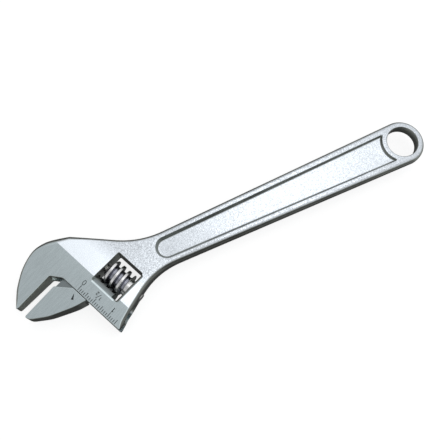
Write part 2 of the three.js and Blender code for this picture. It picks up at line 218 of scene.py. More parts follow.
def bend(start, corner, end, count=16):
    """A curve from start to end that is pulled toward the corner."""
    start, corner, end = (np.asarray(p, float) for p in (start, corner, end))
    t = np.linspace(0, 1, count)[:, None]
    return (1 - t) ** 2 * start + 2 * t * (1 - t) * corner + t**2 * end


def arc(centre, radius, start, end, count=48):
    angles = np.radians(np.linspace(start, end, count))
    return np.asarray(centre, float) + radius * np.column_stack([np.cos(angles), np.sin(angles)])


def evenly(runs, spacing=SPACING):
    """A closed outline through (points, value) runs, as evenly spaced points and their values."""
    points = np.vstack([run for run, _ in runs])
    values = np.concatenate([np.full(len(run), value, float) for run, value in runs])
    points = np.vstack([points, points[:1]])
    values = np.append(values, values[0])
    length = np.concatenate([[0], np.cumsum(np.linalg.norm(np.diff(points, axis=0), axis=1))])
    kept = np.concatenate([[True], np.diff(length) > 1e-6])
    count = max(12, round(length[-1] / spacing))
    at = np.linspace(0, length[-1], count, endpoint=False)
    columns = [np.interp(at, length[kept], column[kept]) for column in (*points.T, values)]
    outline = np.column_stack(columns[:2])
    if area(outline) < 0:
        return outline[::-1], columns[2][::-1]
    return outline, columns[2]


def area(outline):
    x, y = outline.T
    return (x @ np.roll(y, -1) - y @ np.roll(x, -1)) / 2


def inward(outline):
    """Unit normals that point into an anticlockwise outline."""
    along = np.roll(outline, -1, axis=0) - np.roll(outline, 1, axis=0)
    along /= np.linalg.norm(along, axis=1)[:, None]
    return np.column_stack([-along[:, 1], along[:, 0]])


def softened(values, reach, spacing=SPACING):
    """Values along a closed outline, averaged over a distance on each side."""
    half = max(1, round(reach / spacing))
    return np.mean([np.roll(values, shift) for shift in range(-half, half + 1)], axis=0)


def contains(outline, points):
    """Which points lie inside the outline."""
    x0, y0 = outline.T
    x1, y1 = np.roll(outline, -1, axis=0).T
    px, py = points[:, :1], points[:, 1:2]
    spans = (y0 > py) != (y1 > py)
    crossing = x0 + (py - y0) * (x1 - x0) / np.where(y1 == y0, 1, y1 - y0)
    return np.sum(spans & (px < crossing), axis=1) % 2 == 1


def clearance(outline, points):
    """How far each point is from the outline."""
    start = outline
    along = np.roll(outline, -1, axis=0) - outline
    offset = points[:, None] - start
    part = np.clip(np.sum(offset * along, axis=2) / np.sum(along**2, axis=1), 0, 1)
    return np.linalg.norm(offset - part[..., None] * along, axis=2).min(axis=1)


def fitting(outline, width):
    """Widths narrowed at tight corners, so that an offset by them doesn't cross itself.

    A moved point that is nearer to the outline than it was moved has crossed another part of it.
    """
    for _ in range(20):
        distance = width + FACE_MARGIN
        moved = outline + inward(outline) * distance[:, None]
        crossing = clearance(outline, moved) < 0.97 * distance
        if not crossing.any():
            break
        width = np.where(crossing, width * 0.85, width)
        width = np.minimum(width, softened(width, SPACING))
    return width


def inner_loop(outline, distance):
    """The curve that lies at a distance inside the outline, without the crossings at its corners."""
    moved = outline + inward(outline) * distance[:, None]
    return moved[clearance(outline, moved) > 0.985 * distance]


# ---------------------------------------------------------------- thickness


def ground_half(points):
    """Half thickness between the two ground faces, which the jaws share."""
    return CREASE_HALF - GROUND_SLOPE * (CREASE_U - head_u(points))


def along_handle(x, at_neck, at_hole):
    """A size that changes evenly from the neck to the hanging hole."""
    return at_neck + (at_hole - at_neck) * (x - NECK_X) / -NECK_X


def handle_half(points):
    return along_handle(points[:, 0], NECK_HALF, END_HALF)


def body_half(points):
    forged = CREASE_HALF - FORGED_SLOPE * (head_u(points) - CREASE_U)
    over_head = np.minimum(ground_half(points), forged)
    handle = handle_half(points)
    near = np.clip(NECK_BLEND - np.abs(over_head - handle), 0, None) / NECK_BLEND
    blended = np.maximum(over_head, handle) + near**2 * NECK_BLEND / 4
    return np.where(points[:, 0] > BLEND_START_X, blended, over_head)


# ---------------------------------------------------------------- meshes


class Shell:
    """Points and faces of one piece while it is being put together."""

    def __init__(self):
        self.places = []
        self.faces = []
        self.marks = []

    def ring(self, points, heights, mark=0.0):
        """Adds points and returns their numbers."""
        heights = np.broadcast_to(heights, len(points))
        first = len(self.places)
        self.places += [(x, y, z) for (x, y), z in zip(points, heights)]
        self.marks += [mark] * len(points)
        return np.arange(first, len(self.places))

    def join(self, ring, other):
        """Closes the strip between two rings of the same length."""
        for here, there in zip(zip(ring, np.roll(ring, -1)), zip(other, np.roll(other, -1))):
            self.faces.append((here[0], here[1], there[1], there[0]))

    def join_all(self, rings):
        for ring, other in zip(rings, rings[1:]):
            self.join(ring, other)

    def fill(self, loops, solid, lines=(), loose=()):
        """Fills between the loops, where solid(points) says so, keeping every given line."""
        numbers = [int(n) for group in (*loops, *lines, loose) for n in group]
        numbers = list(dict.fromkeys(numbers))
        local = {number: i for i, number in enumerate(numbers)}
        flat = [Vector(self.places[number][:2]) for number in numbers]
        edges = [(local[a], local[b]) for loop in loops for a, b in zip(loop, np.roll(loop, -1))]
        edges += [(local[a], local[b]) for line in lines for a, b in zip(line, line[1:])]
        found, _, triangles, sources, _, _ = delaunay_2d_cdt(flat, edges, [], 0, 1e-5)
        crossings = [tuple(found[i]) for i, source in enumerate(sources) if not source]
        if crossings:
            raise ValueError(f"lines cross at {crossings[:6]}")
        corners = np.array([[numbers[sources[i][0]] for i in triangle] for triangle in triangles])
        centres = np.array(self.places)[corners][:, :, :2].mean(axis=1)
        self.faces += [tuple(corner) for corner in corners[solid(centres)]]

    def piece(self, name):
        mesh = bpy.data.meshes.new(name)
        places = (np.array(self.places) + [*HOLE_CENTRE, MID_Z]) * MM
        mesh.from_pydata(places.tolist(), [], [tuple(map(int, face)) for face in self.faces])
        layer = mesh.attributes.new("mark", "FLOAT", "POINT")
        layer.data.foreach_set("value", self.marks)
        tidy(mesh)
        piece = bpy.data.objects.new(name, mesh)
        bpy.context.scene.collection.objects.link(piece)
        return piece


def tidy(mesh):
    """Merges doubled points and makes every face look outward."""
    work = bmesh.new()
    work.from_mesh(mesh)
    bmesh.ops.remove_doubles(work, verts=work.verts, dist=0.002 * MM)
    bmesh.ops.recalc_face_normals(work, faces=work.faces)
    work.to_mesh(mesh)
    work.free()


def combine(piece, other, operation):
    """Cuts the other piece from this one, or joins it on, and drops it."""
    modifier = piece.modifiers.new("combine", "BOOLEAN")
    modifier.operation = operation
    modifier.solver = "EXACT"
    modifier.object = other
    graph = bpy.context.evaluated_depsgraph_get()
    made = bpy.data.meshes.new_from_object(piece.evaluated_get(graph))
    piece.modifiers.clear()
    piece.data = made
    bpy.data.objects.remove(other)


def finish_shading(piece):
    """Smooth faces, with a crisp line wherever two faces meet at a clear angle."""
    piece.data.shade_smooth()
    piece.data.set_sharp_from_angle(angle=math.radians(CRISP_ANGLE))


def place_along_v(u, points):
    """Points given as (toward +u, toward +z, v), turned into handle frame coordinates."""
    points = np.asarray(points, float)
    plan = head(np.column_stack([u + points[:, 0], points[:, 2]]))
    return np.column_stack([plan, points[:, 1]])


def turned(name, profile, u, count=72):
    """A piece turned on an axis along v. The profile is (radius, v) pairs and closes on itself."""
    shell = Shell()
    angles = np.linspace(0, 2 * math.pi, count, endpoint=False)
    rings = []
    for radius, v in profile:
        around = np.column_stack([radius * np.cos(angles), radius * np.sin(angles), np.full(count, v)])
        placed = place_along_v(u, around)
        rings.append(shell.ring(placed[:, :2], placed[:, 2]))
    shell.join_all([*rings, rings[0]])
    return shell.piece(name)


def prism(name, corners, low, high):
    """A straight prism on a convex outline in the head's u and v."""
    shell = Shell()
    plan = head(corners)
    lower = shell.ring(plan, low)
    upper = shell.ring(plan, high)
    shell.join(lower, upper)
    shell.faces += [tuple(lower), tuple(upper)]
    return shell.piece(name)


# ---------------------------------------------------------------- edge profiles


def edge_rings(shell, outline, side, half, width, share, flat=0.0, steps=7, away=1.0):
    """Rings from just inside a face, over its rounded edge, to the top of the wall below it.

    The edge starts at width from the wall and curves down over share of the half thickness. flat
    turns the curve into a chamfer. away is -1 round a hole, whose face lies outside the outline.
    """
    normals = inward(outline) * away
    hold = outline + normals * (width + FACE_MARGIN)[:, None]
    rings = [shell.ring(hold, side * half(hold))]
    for step in range(steps + 1):
        part = step / steps
        angle = part * math.pi / 2
        inset = (1 - flat) * (1 - math.sin(angle)) + flat * (1 - part)
        drop = (1 - flat) * (1 - math.cos(angle)) + flat * part
        points = outline + normals * (width * inset)[:, None]
        rings.append(shell.ring(points, side * half(points) * (1 - share * drop)))
    shell.join_all(rings)
    return rings


# ---------------------------------------------------------------- marks in the face


def stroke(path, width):
    """The outline of an open stroke with square ends."""
    path = np.asarray(path, float)
    along = np.gradient(path, axis=0)
    along /= np.linalg.norm(along, axis=1)[:, None]
    normal = np.column_stack([-along[:, 1], along[:, 0]]) * width / 2
    cap = along * width / 2
    path = path.copy()
    path[0] -= cap[0]
    path[-1] += cap[-1]
    return np.vstack([path + normal, (path - normal)[::-1]])


def sink(shell, outline, depth, sides, half):
    """A mark pressed into the upper face: its outer edge on the face and its floor below it.

    sides is 1 where the floor lies inside the outline and -1 where it lies outside.
    """
    outline, _ = evenly([(outline, 0)], MARK_SPACING)
    if sides > 0:
        floor = inner_loop(outline, np.full(len(outline), MARK_WALL))
    else:
        floor = outline - inward(outline) * MARK_WALL
    outer = shell.ring(outline, half(outline))
    inner = shell.ring(floor, half(floor) - depth, mark=1.0)
    return [outer, inner]


def glyph(shape, place, height):
    """A numeral's strokes, laid so that it reads toward +v with its top toward -u."""
    shape = np.asarray(shape, float) * height
    return head(np.column_stack([place[0] - shape[:, 1], place[1] + shape[:, 0]]))


NUMERAL_ONE = [(-0.06, 0), (0.09, 0), (0.09, 1), (-0.02, 1), (-0.26, 0.82), (-0.26, 0.66), (-0.06, 0.78)]
NUMERAL_TWO = [
    *arc((0, 0.68), 0.32, 170, -38, 12),
    (-0.08, 0.15), (0.33, 0.15), (0.33, 0), (-0.33, 0), (-0.33, 0.12),
    *arc((0, 0.68), 0.17, -38, 170, 10),
]
SLASH = stroke([(-0.3, -0.2), (0.3, 1.1)], 0.14)


def scale_marks(shell):
    """The inch scale along the strip: ticks, and the numerals 0, 1/2 and 1."""
    loops = []
    for i in range(TICK_COUNT):
        v = SCALE_ZERO_V - i * TICK_PITCH
        end = next(end for every, end in TICK_ENDS_U.items() if i % every == 0)
        tick = head(stroke([(TICK_START_U, v), (end, v)], MARK_WIDTH))
        loops += sink(shell, tick, MARK_DEPTH, 1, body_half)
    ring = arc((0, 0), 1, 0, 352, 28) * [0.27, 0.5] + [0, 0.5]
    zero = glyph(ring, (-4.3, SCALE_ZERO_V), NUMERAL_HEIGHT)
    aside = inward(zero) * NUMERAL_STROKE / 2
    outer, inner = zero - aside, zero + aside
    if area(zero) < 0:
        outer, inner = inner, outer
    loops += sink(shell, outer, MARK_DEPTH, 1, body_half)
    loops += sink(shell, inner, MARK_DEPTH, -1, body_half)
    half_v = SCALE_ZERO_V - 8 * TICK_PITCH
    numerals = [
        (NUMERAL_ONE, (-5.4, half_v - 1.7), HALVES_HEIGHT),
        (SLASH, (-5.0, half_v), HALVES_HEIGHT + 0.2),
        (NUMERAL_TWO, (-4.0, half_v + 1.7), HALVES_HEIGHT),
        (NUMERAL_ONE, (-4.5, SCALE_ZERO_V - 16 * TICK_PITCH), NUMERAL_HEIGHT),
    ]
    for shape, place, height in numerals:
        loops += sink(shell, glyph(shape, place, height), MARK_DEPTH, 1, body_half)
    return loops


# ---------------------------------------------------------------- wrench body


def handle_half_width(x):
    return along_handle(x, NECK_HALF_WIDTH, END_RADIUS)


def body_outline():
    """The body in plan, with 1 along forged sides and 0 along ground ones."""
    jaw_back = spline(head([
        (-45.4, 22.9), (-44.3, 24.9), (-40.4, 29), (-35.3, 33.3), (-25.2, 39.2),
        (-13.5, 42.4), (-4.5, 41), (2.5, 37.2), (9.5, 32.2),
    ]))
    neck_top = bend(
        head((27.6, 9.5)), (-198.9, handle_half_width(-198.9)), (-182, handle_half_width(-182))
    )
    neck_bottom = bend(
        (-180, -handle_half_width(-180)), (-196.5, -handle_half_width(-196.5)), head((15, -28.5))
    )
    heel = spline(head([(15, -28.5), (5.2, -30.7), (-4, -32.9), (-9, -34.1), (-11.2, -34.3)]))
    throat = np.vstack([
        bend((-11.2, -34.3), (STRIP_U, -34.3), (STRIP_U, -33)),
        bend((STRIP_U, THROAT_END_V - 1), (STRIP_U, THROAT_END_V), (STRIP_U - 0.6, THROAT_END_V + 0.95)),
        bend(
            (THROAT_START_U + 0.5, FIXED_FACE_V - 0.8),
            (THROAT_START_U, FIXED_FACE_V),
            (THROAT_START_U - 0.9, FIXED_FACE_V),
        ),
        bend((-43.7, FIXED_FACE_V), (-45.2, FIXED_FACE_V), (-45.4, 22.8)),
    ])
    return evenly([
        (jaw_back, 1),
        (neck_top, 1),
        (arc((0, 0), END_RADIUS, 90, -90, 60), 1),
        (neck_bottom, 1),
        (heel, 1),
        (head(throat), 0),
    ])


def window_outline():
    """The window, with 1 along the edge beside the strip and 2 along the edge at the heel."""
    left, right = WINDOW_LEFT, WINDOW_RIGHT
    bottom, top, corner = WINDOW_BOTTOM, WINDOW_TOP, WINDOW_CORNER
    strip_side = [(left, top - corner - 0.2), (left, bottom + corner + 0.2)]
    heel_side = np.vstack([
        arc((left + corner, bottom + corner), corner, 240, 270, 4), [(right - corner - 0.2, bottom)],
    ])
    rest = np.vstack([
        arc((right - corner, bottom + corner), corner, -90, 0, 8),
        arc((right - corner, top - corner), corner, 0, 90, 8),
        arc((left + corner, top - corner), corner, 90, 120, 4),
    ])
    return evenly([(head(strip_side), 1), (head(heel_side), 2), (head(rest), 0)], FINE_SPACING)


def pocket_outline():
    """The pocket at the level of the handle's faces, round toward the head, hollow toward the hole."""
    start_x = POCKET_START_X + POCKET_START_RADIUS
    slope = (POCKET_END_HALF_WIDTH - POCKET_START_RADIUS) / -start_x
    half_width = POCKET_END_HALF_WIDTH + slope * POCKET_CORNER_X
    angle = math.degrees(math.asin(half_width / POCKET_BOSS_RADIUS))
    outline, _ = evenly([
        (arc((start_x, 0), POCKET_START_RADIUS, 90, 270), 0),
        (arc((0, 0), POCKET_BOSS_RADIUS, 180 + angle, 180 - angle), 0),
    ])
    corner = np.array([POCKET_BOSS_RADIUS * -math.cos(math.radians(angle)), POCKET_END_HALF_WIDTH])
    near = np.linalg.norm(np.abs(outline) - np.abs(corner), axis=1)
    reach = np.where(outline[:, 1] < 0, *POCKET_CORNER)
    for _ in range(CORNER_PASSES):
        average = (np.roll(outline, 1, axis=0) + np.roll(outline, -1, axis=0)) / 2
        weight = np.clip(1.6 - near / reach, 0, 1)[:, None]
        outline = outline + (average - outline) * weight * 0.8
    return outline


POCKET_RIM = [(0.1, 0.01), (0.25, 0.05), (0.38, 0.13), (0.5, 0.28), (0.6, 0.48)]
POCKET_FILLET = [(0.1, 0.62), (0.24, 0.4), (0.44, 0.2), (0.68, 0.07), (0.95, 0.01), (1.15, 0.0)]


def pocket_loops(shell, side, outline):
    """Loops from the handle's face over the pocket's rim, down its leaning wall to the floor."""
    loops = [shell.ring(outline, side * body_half(outline))]
    depth = handle_half(outline) - WEB_HALF
    for offset, drop in POCKET_RIM:
        points = inner_loop(outline, np.full(len(outline), offset))
        loops.append(shell.ring(points, side * (body_half(points) - drop)))
    for offset, height in POCKET_FILLET:
        points = inner_loop(outline, offset + depth * POCKET_DRAFT)
        loops.append(shell.ring(points, side * (WEB_HALF + height)))
    return loops


def side_draft(points):
    """How far the forged side curves in at points of the outline: most where the crease meets the back."""
    on_back = (points - HEAD_ORIGIN) @ V_AXIS > 0
    from_crease = (head_u(points) - CREASE_U) / CROWN_REACH
    return SIDE_DRAFT + on_back * CROWN_DRAFT * np.exp(-(from_crease**2))


def crease_lines(shell, side, outline, window):
    """Three close lines that keep the ridge between the ground and the forged face narrow."""
    lines = []
    v = np.arange(-45, 50, CREASE_SPACING)
    inset = outline + inward(outline) * (side_draft(outline) + 0.5)[:, None]
    widened = window - inward(window) * (HEEL_BEVEL[0] + 0.4)
    rounded_off = 0.25 * CREASE_SOFTNESS * GROUND_SLOPE
    for offset in (-CREASE_SOFTNESS, 0, CREASE_SOFTNESS):
        points = head(np.column_stack([np.full(len(v), CREASE_U + offset), v]))
        kept = contains(inset, points) & ~contains(widened, points)
        heights = body_half(points) - (0.0 if offset else rounded_off)
        numbers = shell.ring(points[kept], side * heights[kept])
        breaks = np.flatnonzero(np.diff(np.flatnonzero(kept)) > 1) + 1
        lines += [line for line in np.split(numbers, breaks) if len(line) > 1]
    return lines


def neck_grid(shell, side, outline, pocket):
    """Loose points where the head's face flows into the handle's, so that the flow is smooth."""
    along = np.arange(NECK_X - 30, NECK_X + 20, GRID_SPACING)
    across = np.arange(-24, 24, GRID_SPACING)
    x, y = np.meshgrid(along, across)
    points = np.column_stack([x.ravel(), y.ravel()])
    inset = outline + inward(outline) * (SIDE_DRAFT + 0.7)
    widened = pocket - inward(pocket) * 1.0
    clear_of_window = head_u(points) > WINDOW_RIGHT + 1.2
    kept = points[contains(inset, points) & ~contains(widened, points) & clear_of_window]
    return shell.ring(kept, side * body_half(kept))


def wrench_body():
    shell = Shell()
    outline, forged = body_outline()
    forged = softened(forged, 1.4)
    window, sides = window_outline()
    hole, _ = evenly([(arc((0, 0), HOLE_RADIUS, 0, 355, 72), 0)])
    pocket = pocket_outline()
    half = body_half(outline)
    draft = fitting(outline, GROUND_EDGE + forged * (side_draft(outline) - GROUND_EDGE))
    share = GROUND_EDGE / half + forged * (SIDE_ROUND - GROUND_EDGE / half)
    strip_side, heel_side = (
        softened(1.0 * (sides == kind), FINE_SPACING, FINE_SPACING) for kind in (1, 2)
    )
    bevel, bevel_depth = (
        broken + strip_side * (strip - broken) + heel_side * (heel - broken)
        for broken, strip, heel in zip(WINDOW_BREAK, STRIP_BEVEL, HEEL_BEVEL)
    )
    window_share = bevel_depth / body_half(window)
    chamfer = np.full(len(hole), HOLE_CHAMFER)
    walls = []
    for side in (1, -1):
        outer = edge_rings(shell, outline, side, body_half, draft, share, steps=10)
        inner = edge_rings(shell, window, side, body_half, bevel, window_share, flat=0.8, away=-1)
        eye = edge_rings(shell, hole, side, body_half, chamfer, chamfer / END_HALF, flat=0.4, away=-1)
        walls.append((outer[-1], inner[-1], eye[-1]))
        edges = [rings[0] for rings in (outer, inner, eye)]
        flat = [np.array(shell.places)[edge, :2] for edge in edges]

        def on_face(points, flat=flat):
            outside = [contains(loop, points) for loop in flat]
            return outside[0] & ~outside[1] & ~outside[2]

        loops = [*edges, *pocket_loops(shell, side, pocket)]
        if side > 0:
            loops += scale_marks(shell)
        lines = crease_lines(shell, side, outline, window)
        shell.fill(loops, on_face, lines, neck_grid(shell, side, outline, pocket))
    for upper, lower in zip(*walls):
        shell.join(upper, lower)
    return shell.piece("wrench_body_visual")


# ---------------------------------------------------------------- cuts in the body


def bar_along_v(name, radius, bottom, top, chamfer=0.0):
    """A round bar on the slide's axis, with its lower end chamfered."""
    return turned(name, [
        (0, bottom), (radius - chamfer, bottom), (radius, bottom + chamfer), (radius, top), (0, top),
    ], BAR_U, 128)


def cut_slide(body):
    """The bore and slot for the movable jaw's bar and tongue, open at the heel."""
    slot_top = FIXED_FACE_V + CLEARANCE
    slot_half = TONGUE_HALF + CLEARANCE
    left, right = THROAT_START_U - CLEARANCE, BAR_U
    corners = [(left, BEYOND_HEEL_V), (right, BEYOND_HEEL_V), (right, slot_top), (left, slot_top)]
    combine(body, bar_along_v("bore", BAR_RADIUS + CLEARANCE, BEYOND_HEEL_V, BORE_TOP_V), "DIFFERENCE")
    combine(body, prism("slot", corners, -slot_half, slot_half), "DIFFERENCE")


def cut_pin_hole(body):
    """The worm pin's hole, with the seat for its head at the heel."""
    radius = PIN_RADIUS + CLEARANCE
    seat = PIN_HEAD_RADIUS + CLEARANCE
    hole = turned("pin_hole", [
        (0, BEYOND_HEEL_V), (seat, BEYOND_HEEL_V), (seat, PIN_SEAT_V), (radius, PIN_SEAT_V),
        (radius, PIN_TOP_V + CLEARANCE), (0, PIN_TOP_V + 1.5),
    ], WORM_U)
    combine(body, hole, "DIFFERENCE")


# ---------------------------------------------------------------- movable jaw


def jaw_outline():
    """The jaw beside its bar, in plan, with 1 along its rounded back."""
    side_u = STRIP_U - CLEARANCE
    back = spline([
        (-45.4, 14.2), (-44.2, 11.3), (-40.5, 8), (-35.4, 4), (-30, 1), (-20, -4),
        (side_u - 0.4, JAW_BOTTOM_V + 0.3),
    ])
    front = [
        (side_u, JAW_BOTTOM_V + 0.7), (side_u, SHOULDER_V), (side_u - 0.2, SHOULDER_V + 0.4),
        (SHOULDER_U + 0.4, MOVING_FACE_V - 0.3), (SHOULDER_U - 0.4, MOVING_FACE_V),
    ]
    tip = bend((-44.2, MOVING_FACE_V), (-45.3, MOVING_FACE_V), (-45.4, 14.3), 8)
    return evenly([(head(back), 1), (head(front), 0), (head(tip), 0)])


def pointer_mark(shell):
    """The wedge that points at the scale."""
    wedge = [(-18.2, -0.2), (-15.0, 2.2), (-15.1, 2.4), (-18.9, 1.3)]
    return sink(shell, head(wedge), MARK_DEPTH, 1, ground_half)


def jaw_plate():
    shell = Shell()
    outline, back = jaw_outline()
    edge = fitting(outline, GROUND_EDGE + softened(back, 1.0) * BACK_ROUND)
    upper, lower = (
        edge_rings(shell, outline, side, ground_half, edge, edge / ground_half(outline))
        for side in (1, -1)
    )
    for rings, loops in ((upper, pointer_mark(shell)), (lower, [])):
        flat = np.array(shell.places)[rings[0], :2]
        shell.fill([rings[0], *loops], lambda points, flat=flat: contains(flat, points))
    shell.join(upper[-1], lower[-1])
    return shell.piece("movable_jaw_visual")


def rack_space(v):
    """One space between two rack teeth, leaning with the thread."""
    floor_u = WORM_U - WORM_RADIUS - CLEARANCE
    slope = FLANK / THREAD_DEPTH
    floor_half = CREST_HALF + CLEARANCE * math.hypot(1, slope) - slope * CLEARANCE
    depth = 4.0
    lean = math.atan(THREAD_LEAD / (2 * math.pi * (WORM_RADIUS - THREAD_DEPTH / 2)))
    section = [
        (0, -floor_half), (depth, -floor_half - slope * depth),
        (depth, floor_half + slope * depth), (0, floor_half),
    ]
    shell = Shell()
    ends = []
    for z in (-BAR_RADIUS - 1, BAR_RADIUS + 1):
        plan = head([
            (floor_u + across, v + along * math.cos(lean) + z * math.sin(lean))
            for across, along in section
        ])
        heights = [z * math.cos(lean) - along * math.sin(lean) for _, along in section]
        ends.append(shell.ring(plan, heights))
    shell.join(*ends)
    shell.faces += [tuple(end) for end in ends]
    return shell.piece("rack_space")


def shade_inside(jaw):
    """Marks the jaw's bar, rack and tongue, which slide inside the body, with painted shade."""
    mesh = jaw.data
    places = np.empty(len(mesh.vertices) * 3)
    mesh.vertices.foreach_get("co", places)
    places = places.reshape(-1, 3) / MM - [*HOLE_CENTRE, MID_Z]
    u = head_u(places[:, :2])
    in_slot = (u > SHOULDER_U) & (np.abs(places[:, 2]) < TONGUE_HALF + 0.01)
    in_shade = in_slot | (u > STRIP_U - CLEARANCE + 0.05)
    marks = np.empty(len(u), np.float32)
    layer = mesh.attributes["mark"].data
    layer.foreach_get("value", marks)
    layer.foreach_set("value", np.where(in_shade, INSIDE_SHADE, marks).astype(np.float32))


def movable_jaw():
    jaw = jaw_plate()
    tongue = prism("tongue", [
        (-22, MOVING_FACE_V - 0.05), (-22, 7.5), (-14, JAW_BOTTOM_V + 0.3),
        (BAR_U, JAW_BOTTOM_V + 0.3), (BAR_U, MOVING_FACE_V - 0.05),
    ], -TONGUE_HALF, TONGUE_HALF)
    bar = bar_along_v("bar", BAR_RADIUS, BAR_BOTTOM_V, MOVING_FACE_V - 0.1, BAR_CHAMFER)
    combine(jaw, tongue, "UNION")
    combine(jaw, bar, "UNION")
    rib_at_rack = CREST_V - THREAD_LEAD / 4
    first = math.floor((BAR_BOTTOM_V - rib_at_rack) / THREAD_LEAD)
    last = math.ceil((MOVING_FACE_V - rib_at_rack) / THREAD_LEAD)
    for i in range(first, last + 1):
        combine(jaw, rack_space(rib_at_rack + i * THREAD_LEAD), "DIFFERENCE")
    shade_inside(jaw)
    return jaw


# ---------------------------------------------------------------- worm, pin and spring


def eased(value):
    return value * value * (3 - 2 * value)


def thread_radius(angle, v):
    """Radius of the thread at an angle from its upper side toward +u."""
    turns = (v - CREST_V) / THREAD_LEAD - angle / (2 * math.pi)
    from_crest = np.abs(turns - np.round(turns)) * THREAD_LEAD
    down = eased(np.clip((from_crest - CREST_HALF + THREAD_ROUND) / (FLANK + 2 * THREAD_ROUND), 0, 1))
    return WORM_RADIUS - THREAD_DEPTH * down


def adjusting_worm(around=144, spacing=0.12):
    shell = Shell()
    angles = np.linspace(0, 2 * math.pi, around, endpoint=False)
    bore = PIN_RADIUS + CLEARANCE
    seat_v = WORM_TOP_V - SPRING_POCKET_DEPTH
    rows = []
    for v in np.linspace(WORM_BOTTOM_V, WORM_TOP_V, round((WORM_TOP_V - WORM_BOTTOM_V) / spacing) + 1):
        from_end = min(v - WORM_BOTTOM_V, WORM_TOP_V - v)
        limit = WORM_RADIUS - max(0.0, WORM_CHAMFER - from_end)
        plain = eased(np.clip((WORM_BOTTOM_V + COLLAR_LENGTH - v) / RUNOUT, 0, 1))
        radius = thread_radius(angles, v)
        rows.append((np.minimum(radius + (COLLAR_RADIUS - radius) * plain, limit), v))
    bottom, top = rows[0][0], rows[-1][0]
    lower_face = [(bore + (bottom - bore) * part, WORM_BOTTOM_V) for part in (0.0, 0.5, 0.97)]
    upper_face = [
        (SPRING_POCKET_RADIUS + (top - SPRING_POCKET_RADIUS) * part, WORM_TOP_V)
        for part in (0.97, 0.5, 0.0)
    ]
    inside = [
        (SPRING_POCKET_RADIUS - 0.15, WORM_TOP_V - 0.15), (SPRING_POCKET_RADIUS - 0.15, seat_v),
        (bore, seat_v), (bore, WORM_BOTTOM_V + 0.1),
    ]
    rings = []
    for radius, v in [*lower_face, *rows, *upper_face, *inside]:
        placed = place_along_v(WORM_U, np.column_stack([
            radius * np.sin(angles), radius * np.cos(angles), np.full(around, v)
        ]))
        in_thread = v > WORM_BOTTOM_V + COLLAR_LENGTH
        # The groove's depth goes into the mark, which the worm's look turns into painted shade.
        depth = np.clip((WORM_RADIUS - radius) / THREAD_DEPTH, 0, 1) * np.full(around, in_thread)
        ring = shell.ring(placed[:, :2], placed[:, 2])
        shell.marks[-around:] = depth.tolist()
        rings.append(ring)
    shell.join_all([*rings, rings[0]])
    return shell.piece("adjusting_worm_visual")


def worm_pin():
    under_head = PIN_SEAT_V - CLEARANCE
    pin = turned("worm_pin_visual", [
        (0, PIN_END_V), (PIN_HEAD_RADIUS - 0.5, PIN_END_V), (PIN_HEAD_RADIUS - 0.15, PIN_END_V + 0.15),
        (PIN_HEAD_RADIUS, PIN_END_V + 0.5), (PIN_HEAD_RADIUS, under_head), (PIN_RADIUS, under_head),
        (PIN_RADIUS, PIN_TOP_V - 1), (PIN_RADIUS - 0.8, PIN_TOP_V), (0, PIN_TOP_V),
    ], WORM_U, 56)
    reach = PIN_HEAD_RADIUS + 1
    slot = [
        (WORM_U - reach, PIN_END_V - 1), (WORM_U + reach, PIN_END_V - 1),
        (WORM_U + reach, PIN_END_V + PIN_SLOT_DEPTH), (WORM_U - reach, PIN_END_V + PIN_SLOT_DEPTH),
    ]
    combine(pin, prism("screwdriver_slot", slot, -PIN_SLOT_HALF, PIN_SLOT_HALF), "DIFFERENCE")
    return pin


def worm_spring(per_turn=40, around=14):
    """A compression spring with a closed coil at each end."""
    low = WORM_TOP_V - SPRING_POCKET_DEPTH + CLEARANCE + SPRING_WIRE_RADIUS
    high = WINDOW_TOP - CLEARANCE - SPRING_WIRE_RADIUS
    closed = 2 * SPRING_WIRE_RADIUS + SPRING_GAP
    turns = np.linspace(0, SPRING_TURNS, per_turn * SPRING_TURNS + 1)
    opened = np.clip(turns - 1, 0, SPRING_TURNS - 2)
    pitch = (high - low - 2 * closed) / (SPRING_TURNS - 2)
    rise = low + opened * pitch + (turns - opened) * closed
    shell = Shell()
    section = np.linspace(0, 2 * math.pi, around, endpoint=False)
    radius = SPRING_RADIUS + SPRING_WIRE_RADIUS * np.cos(section)
    rings = []
    for turn, v in zip(turns, rise):
        angle = turn * 2 * math.pi
        placed = place_along_v(WORM_U, np.column_stack([
            radius * math.cos(angle), radius * math.sin(angle), v + SPRING_WIRE_RADIUS * np.sin(section)
        ]))
        rings.append(shell.ring(placed[:, :2], placed[:, 2]))
    shell.join_all(rings)
    shell.faces += [tuple(rings[0]), tuple(rings[-1])]
    return shell.piece("worm_spring_visual")


# ---------------------------------------------------------------- materials


def grey(value, tint=(1.0, 1.0, 1.0)):
    return (value * tint[0], value * tint[1], value * tint[2], 1.0)


PALE = (0.94, 1.0, 1.06)
STEEL = (0.88, 1.0, 1.03)
OLIVE = (0.94, 1.0, 0.92)


